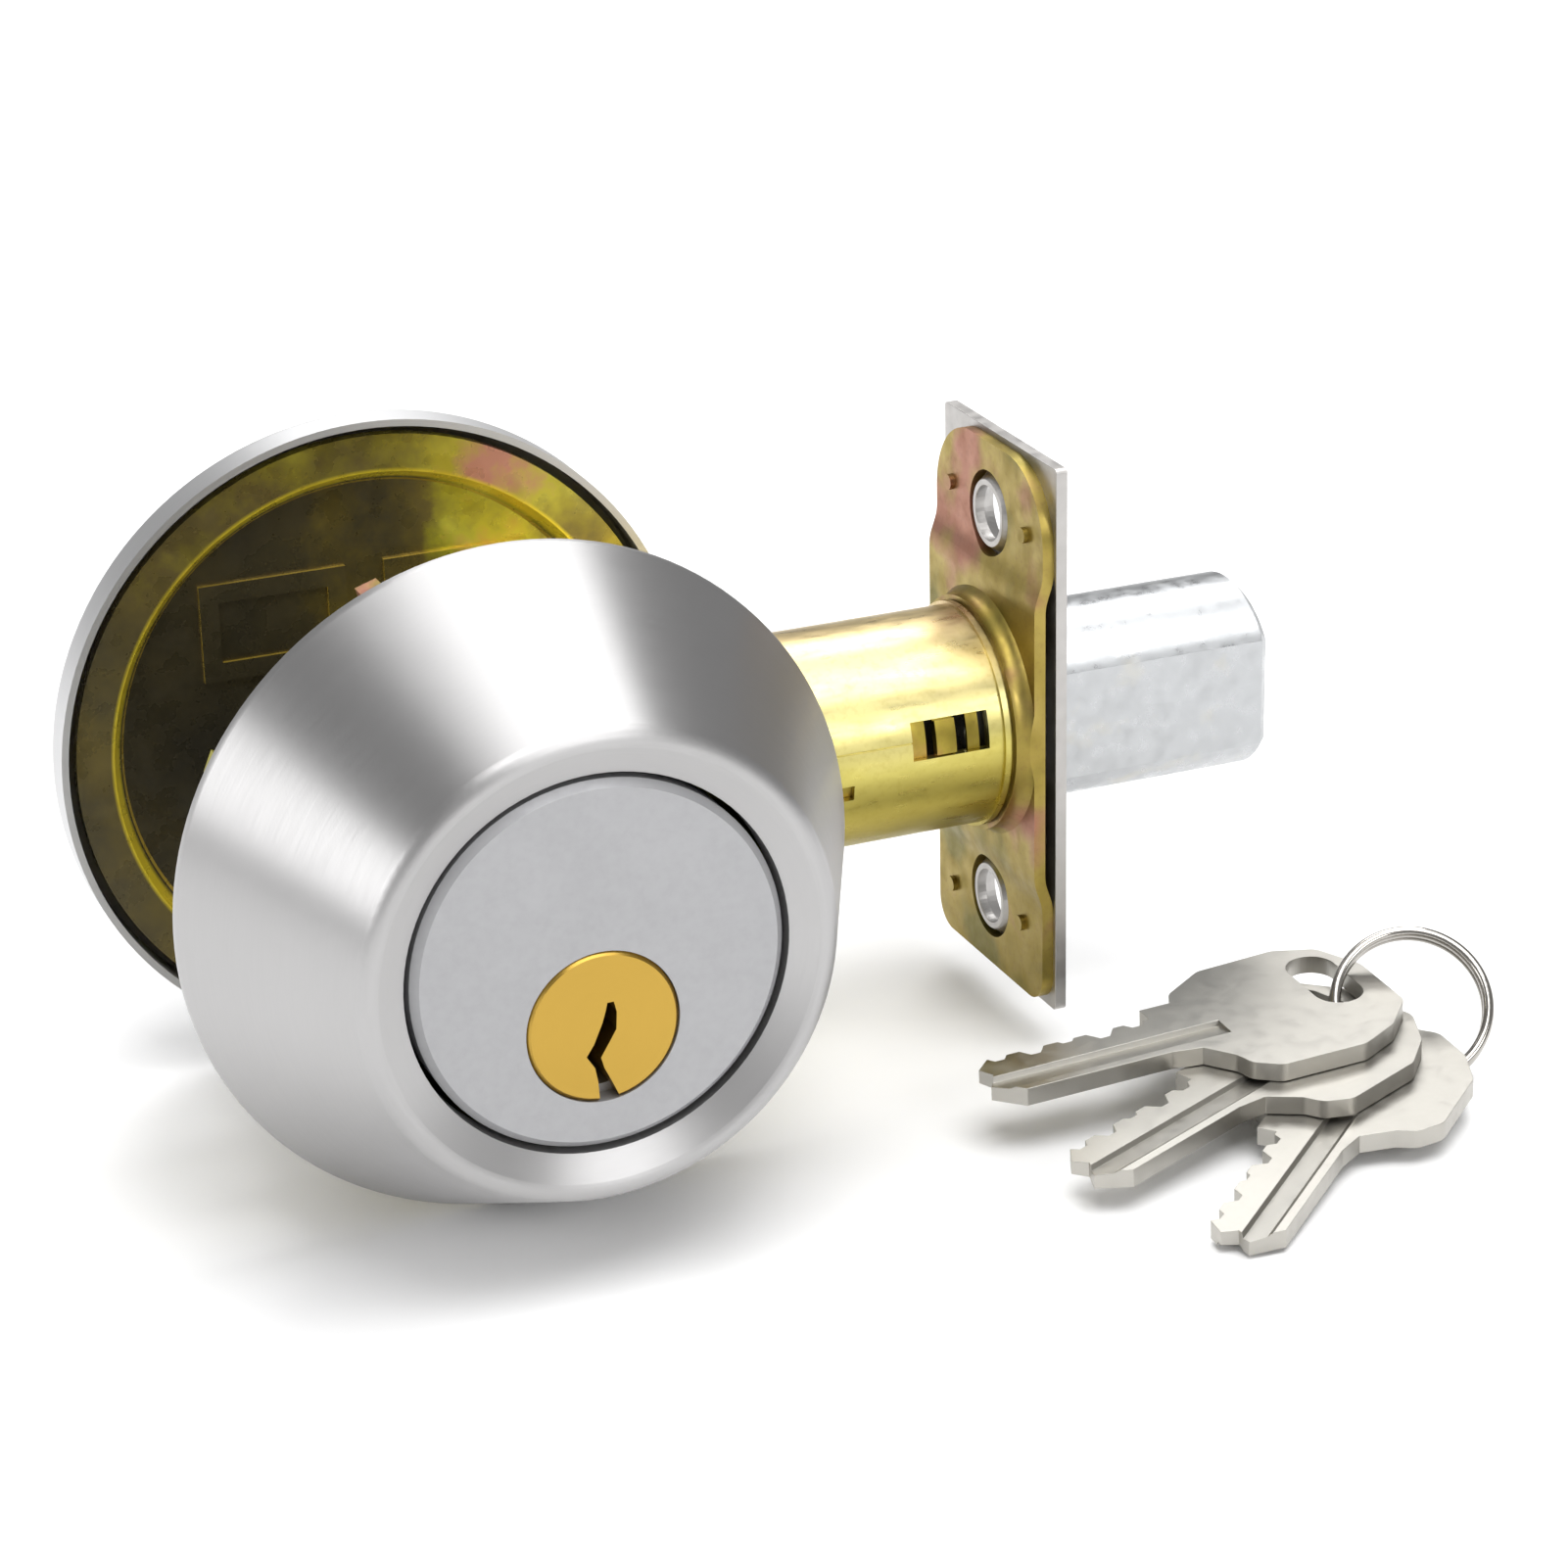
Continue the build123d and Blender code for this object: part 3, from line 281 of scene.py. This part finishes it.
def pressed_chromate(name):
    """The rose's plate: dark olive floor, a bright yellow painted highlight on the fold round it, a
    mottled band outside; the sides of its ribs carry a painted highlight too.
    """
    def colour(tree):
        radius, depth, _ = add(tree, "ShaderNodeSeparateXYZ", {0: turned(tree, 0.0)}).outputs
        patches = spread(tree, noise(tree, coordinates(tree), 62.0, 6.0, 0.62), 0.0, 1.0, (0.32, 0.70))
        side = add(tree, "ShaderNodeSeparateXYZ", {0: coordinates(tree)}).outputs[0]

        def drift(share, low, high, source):
            """The patches, made brighter towards the latch."""
            mottle = maths(tree, "MULTIPLY", patches, share)
            return maths(tree, "ADD", mottle, spread(tree, side, low, high, source))

        floor_tint = ramp(tree, drift(0.5, -0.05, 0.5, (-0.012, 0.016)), [
            (0.0, (0.045, 0.040, 0.026)), (0.4, (0.085, 0.070, 0.032)), (0.58, (0.17, 0.13, 0.030)),
            (0.74, (0.46, 0.42, 0.03)), (1.0, (0.62, 0.20, 0.10)),
        ])
        band_tint = ramp(tree, drift(0.7, -0.1, 0.4, (-0.025, 0.015)), [
            (0.0, (0.10, 0.085, 0.045)), (0.4, (0.18, 0.14, 0.045)), (0.6, (0.31, 0.26, 0.04)),
            (0.8, (0.52, 0.46, 0.05)), (1.0, (0.56, 0.26, 0.18)),
        ])
        # painted highlight: the fold is coloured bright yellow where light glints off its bend
        fold_painted_highlight = mix(tree, spread(tree, patches, 0.0, 0.5), (0.95, 0.78, 0.04), (0.62, 0.38, 0.05))
        # painted highlight: the sides of the pressed ribs are coloured yellow where light catches their
        # edges
        past_top = maths(tree, "GREATER_THAN", depth, RIB_Y[0])
        short_of_foot = maths(tree, "LESS_THAN", depth, RIB_Y[1])
        rib_side_painted_highlight = maths(tree, "MULTIPLY", past_top, short_of_foot)
        ribbed = mix(tree, maths(tree, "MULTIPLY", rib_side_painted_highlight, 0.85), floor_tint, (0.62, 0.44, 0.06))
        inside = mix(tree, spread(tree, radius, 0.0, 1.0, FOLD_INNER_R), ribbed, fold_painted_highlight)
        return mix(tree, spread(tree, radius, 0.0, 1.0, FOLD_OUTER_R), inside, band_tint)

    def roughness(tree):
        return mottled(tree, noise(tree, coordinates(tree), 420.0, 3.0), 0.2, 0.4)

    def bump(tree):
        return noise(tree, coordinates(tree), 900.0, 3.0)

    return material(name, colour, roughness, bump, bump_mm=0.008, metallic=0.6)


OLIVE = [
    (0.0, (0.10, 0.085, 0.02)), (0.3, (0.20, 0.17, 0.03)), (0.5, (0.32, 0.29, 0.05)),
    (0.72, (0.50, 0.46, 0.07)), (0.86, (0.52, 0.36, 0.12)), (1.0, (0.60, 0.27, 0.20)),
]
GOLD = [
    (0.0, (0.20, 0.17, 0.04)), (0.35, (0.33, 0.25, 0.06)), (0.6, (0.38, 0.29, 0.08)),
    (0.8, (0.36, 0.22, 0.10)), (1.0, (0.38, 0.18, 0.12)),
]
# the sleeve's tints are kept darker than the tube's: painted shade for the recess it lies in behind the
# tube's window
SLEEVE_PAINTED_SHADE = [(0.0, (0.22, 0.17, 0.03)), (0.5, (0.36, 0.28, 0.05)), (1.0, (0.42, 0.24, 0.08))]
LOOKS = {
    "housing": brushed("housing_brushed_stainless", (0.445, 0.44, 0.44), 0.40, 0.75),
    "rose": brushed("rose_brushed_stainless", (0.60, 0.60, 0.605), 0.45, 0.4),
    "turn": grained("thumb_turn_satin_stainless", (0.56, 0.555, 0.545), 0.3, 1.0),
    "disc": grained("cylinder_satin_casting", (0.38, 0.38, 0.39), 0.5, 0.5, 3200.0, 0.006, worn=0.08),
    "plug": brushed("plug_turned_brass", (0.47, 0.30, 0.06), 0.32, 0.25, PLUG_Z, 5200.0),
    "pins": grained("pin_turned_brass", (0.80, 0.60, 0.26), 0.26, 1.0),
    "spring": grained("spring_drawn_wire", (0.44, 0.44, 0.45), 0.28, 1.0),
    "tube": chromate_with_painted_light("tube_chromate_painted_light"),
    "sleeve": chromate("sleeve_chromate_painted_shade", SLEEVE_PAINTED_SHADE, 120.0, 0.36),
    "backplate": chromate("backplate_yellow_chromate", GOLD, 85.0, 0.40),
    "rose_plate": pressed_chromate("rose_plate_chromate_painted_highlights"),
    "support": chromate("support_olive_chromate", OLIVE, 80.0, 0.34),
    "bolt": mottled_zinc("bolt_bright_zinc", (0.47, 0.48, 0.49)),
    "works": mottled_zinc("works_bright_zinc", (0.55, 0.56, 0.57), 0.34),
    "faceplate": grained("faceplate_satin_stainless", (0.48, 0.465, 0.45), 0.38, 1.0, 1900.0),
    "screw": grained("screw_zinc_plate", (0.52, 0.52, 0.51), 0.3, 1.0),
    "key": grained("key_tumbled_nickel", (0.44, 0.425, 0.39), 0.36, 1.0, 1500.0, 0.006, worn=0.08),
    "ring": grained("ring_polished_wire", (0.42, 0.40, 0.37), 0.14, 1.0, 1200.0, 0.002),
}
LOOK_OF = {
    "exterior_housing": "housing", "rose_cover": "rose", "thumb_turn": "turn", "cylinder_body": "disc",
    "plug": "plug", "latch_tube": "tube", "adjusting_sleeve": "sleeve", "backplate": "backplate",
    "rose_plate": "rose_plate", "support_ring": "support", "bolt": "bolt", "faceplate": "faceplate",
    "mounting_screws": "screw", "key_1": "key", "key_2": "key", "key_3": "key", "key_ring": "ring",
    "chamber_cover": "pins",
}
LOOK_OF_SLOT = {"pin_brass": "pins", "spring_steel": "spring", "bright_zinc": "works"}


def look(node):
    """The material of a node: its own, or else its slot's."""
    return LOOKS[LOOK_OF.get(node) or LOOK_OF_SLOT[SLOT_OF[node]]]


for node, piece in NODES.items():
    piece.material_slots[0].material = look(node)


# ---------------------------------------------------------------- finely edged pieces
SHARP_DEGREES = 28.0            # edges sharper than this are rounded off


def refine(node, width_mm, segments=2, smooth=False):
    """A copy of a CAD shape with its sharp edges rounded off in the mesh, standing for that node."""
    mesh = NODES[node].data.copy()
    mesh.name = node + "_edged"
    work = bmesh.new()
    work.from_mesh(mesh)
    # joins the triangles of each flat or gently curved face, so that only real edges are rounded
    bmesh.ops.remove_doubles(work, verts=work.verts, dist=1e-6)
    bmesh.ops.dissolve_limit(work, angle_limit=math.radians(1.5), verts=work.verts, edges=work.edges)
    work.to_mesh(mesh)
    work.free()
    piece = bpy.data.objects.new(mesh.name, mesh)
    bpy.context.scene.collection.objects.link(piece)
    mesh.materials.clear()
    mesh.materials.append(look(node))
    if smooth:
        mesh.shade_smooth()
        mesh.set_sharp_from_angle(angle=math.radians(SHARP_DEGREES))
    else:
        mesh.shade_flat()
    bevel = piece.modifiers.new("edges", "BEVEL")
    bevel.width = width_mm / 1000
    bevel.segments = segments
    bevel.limit_method = "ANGLE"
    bevel.angle_limit = math.radians(SHARP_DEGREES)
    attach(piece, BODY_OF[node])
    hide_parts(node)


for key in ("key_1", "key_2", "key_3"):
    refine(key, 0.22)
refine("faceplate", 0.15)
refine("bolt", 0.35, 3, smooth=True)


# ---------------------------------------------------------------- camera
LENS_MM, SENSOR_MM = 99.77, 36.0
CAMERA_AT = Vector((-0.11736, -0.36919, 0.15837))
YAW, PITCH, ROLL = (math.radians(angle) for angle in (22.432, 22.157, -1.338))
ahead = Vector((math.sin(YAW) * math.cos(PITCH), math.cos(YAW) * math.cos(PITCH), -math.sin(PITCH)))
level = Vector((math.cos(YAW), -math.sin(YAW), 0.0))
above = level.cross(ahead)
right = math.cos(ROLL) * level + math.sin(ROLL) * above
up = math.cos(ROLL) * above - math.sin(ROLL) * level

lens = bpy.data.cameras.new("camera")
lens.sensor_width = SENSOR_MM
lens.sensor_fit = "HORIZONTAL"
lens.lens = LENS_MM
lens.clip_start = 0.01
camera = bpy.data.objects.new("camera", lens)
camera.matrix_world = Matrix.Translation(CAMERA_AT) @ Matrix((right, up, -ahead)).transposed().to_4x4()
bpy.context.scene.collection.objects.link(camera)
bpy.context.scene.camera = camera


# ---------------------------------------------------------------- floor and light
FLOOR_HALF = 3.0
FLOOR_GAP = 0.0001              # between the floor and the lowest point of the lock
WORLD_LIGHT = 0.34

floor_mesh = bpy.data.meshes.new("floor")
work = bmesh.new()
bmesh.ops.create_grid(work, x_segments=8, y_segments=8, size=FLOOR_HALF)
work.to_mesh(floor_mesh)
work.free()
floor = bpy.data.objects.new("floor", floor_mesh)
floor.location.z = CAD_LOW.z - FLOOR_GAP
bpy.context.scene.collection.objects.link(floor)
floor_mesh.materials.append(painted_white("floor_white"))

world = bpy.data.worlds.new("studio")
world.use_nodes = True
world.node_tree.nodes["Background"].inputs[0].default_value = (1.0, 1.0, 1.0, 1.0)
world.node_tree.nodes["Background"].inputs[1].default_value = WORLD_LIGHT
bpy.context.scene.world = world


def softbox(name, at, aim, width, height, watts):
    """A soft rectangular lamp at one point, facing another."""
    light = bpy.data.lights.new(name, "AREA")
    light.shape = "RECTANGLE"
    light.size = width
    light.size_y = height
    light.energy = watts
    lamp = bpy.data.objects.new(name, light)
    lamp.location = at
    lamp.rotation_euler = (Vector(aim) - Vector(at)).to_track_quat("-Z", "Y").to_euler()
    bpy.context.scene.collection.objects.link(lamp)


AIM = (0.02, 0.0, 0.0)          # near the middle of the lock
softbox("top_box", (0.12, -0.28, 0.95), AIM, 1.0, 0.8, 10.0)
softbox("left_box", (-0.90, -0.02, 0.31), AIM, 0.8, 0.42, 3.8)
softbox("front_box", (0.30, -1.00, 0.45), AIM, 0.5, 0.35, 3.0)
softbox("back_box", (0.35, 0.75, 0.95), (0.30, 0.60, 0.0), 0.9, 0.6, 10.0)     # lights the floor behind

bpy.context.scene.view_settings.view_transform = "Standard"
